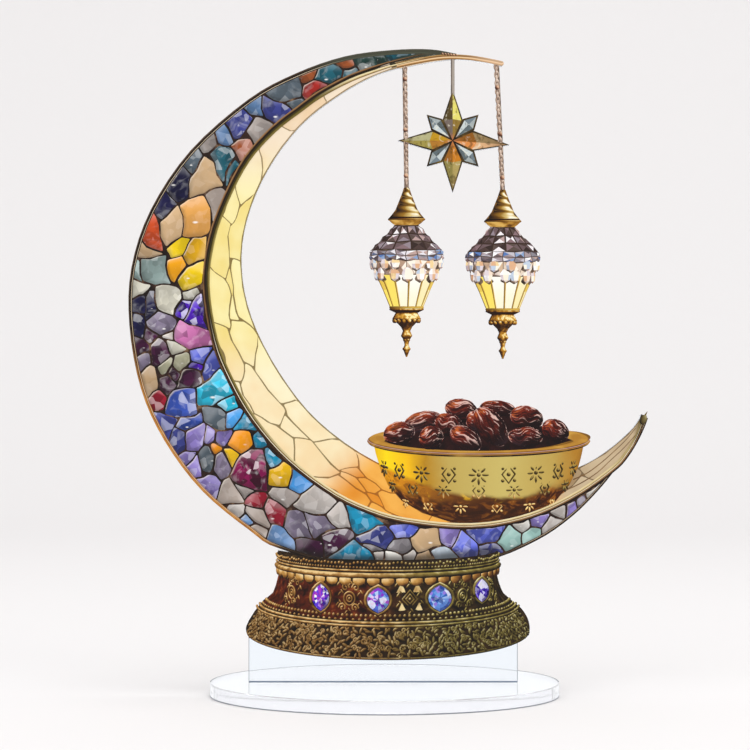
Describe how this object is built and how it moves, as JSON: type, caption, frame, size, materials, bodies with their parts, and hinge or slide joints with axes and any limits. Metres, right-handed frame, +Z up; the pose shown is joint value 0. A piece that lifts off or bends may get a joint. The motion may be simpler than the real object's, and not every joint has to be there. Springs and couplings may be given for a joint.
{
  "type": "acrylic tabletop plaque",
  "caption": "Clear acrylic ornament: a printed sheet cut to a mosaic crescent with hanging lanterns, a star and a bowl of dates, stood by a tab in a round slotted base.",
  "frame": {"origin": "middle of the round base on the surface that it stands on, which is also the flush lower end of the sheet's tab", "axes": "+Z up, the printed face looking along -Y, +X to the viewer's right"},
  "size_m": [0.1556, 0.1046, 0.1935],
  "materials": {
    "clear_acrylic": "clear cast acrylic, polished edges",
    "mosaic_ink": "raised gloss ink, many-coloured stained glass with dark leading",
    "cream_ink": "raised gloss ink, cream glass with thin brown leading",
    "bronze_ink": "raised gloss ink, dark bronze",
    "gold_ink": "raised gloss ink, reeded gold",
    "chain_ink": "raised gloss ink, twisted chain",
    "amber_ink": "raised gloss ink, faceted amber and silver",
    "crystal_ink": "raised gloss ink, cut crystal",
    "glow_ink": "raised gloss ink, lit glass between gold bars",
    "date_ink": "raised gloss ink, wrinkled dark red dates",
    "brass_ink": "raised gloss ink, polished brass",
    "filigree_ink": "raised gloss ink, gold filigree over near black",
    "gem_ink": "raised gloss ink, blue and violet gems"
  },
  "bodies": {
    "base": {"base_disc": "clear_acrylic"},
    "plaque": {"plaque_sheet": "clear_acrylic", "print_star": "amber_ink", "print_lantern_cap_left": "gold_ink", "print_lantern_cap_right": "gold_ink", "print_lantern_crystal_left": "crystal_ink", "print_lantern_crystal_right": "crystal_ink", "print_lantern_glass_left": "glow_ink", "print_lantern_glass_right": "glow_ink", "print_lantern_finial_left": "gold_ink", "print_lantern_finial_right": "gold_ink", "print_horn": "gold_ink", "print_chain_upper_left": "chain_ink", "print_chain_lower_left": "chain_ink", "print_chain_upper_right": "chain_ink", "print_chain_lower_right": "chain_ink", "print_star_thread": "chain_ink", "print_middle_rim": "bronze_ink", "print_dates": "date_ink", "print_bowl_rim": "brass_ink", "print_bowl_wall": "brass_ink", "print_gem_1": "gem_ink", "print_gem_2": "gem_ink", "print_gem_3": "gem_ink", "print_gem_4": "gem_ink", "print_plinth_collar": "filigree_ink", "print_plinth_band": "filigree_ink", "print_plinth_foot": "filigree_ink", "print_outer_rim_left": "bronze_ink", "print_outer_rim_right": "bronze_ink", "print_cream_face": "cream_ink", "print_cream_tip": "cream_ink", "print_mosaic": "mosaic_ink"}
  },
  "joints": [
    {"name": "plaque_lift", "type": "slide", "parent": "base", "child": "plaque", "axis": [0, 0, 1], "range_m": [0, 0.02]}
  ]
}
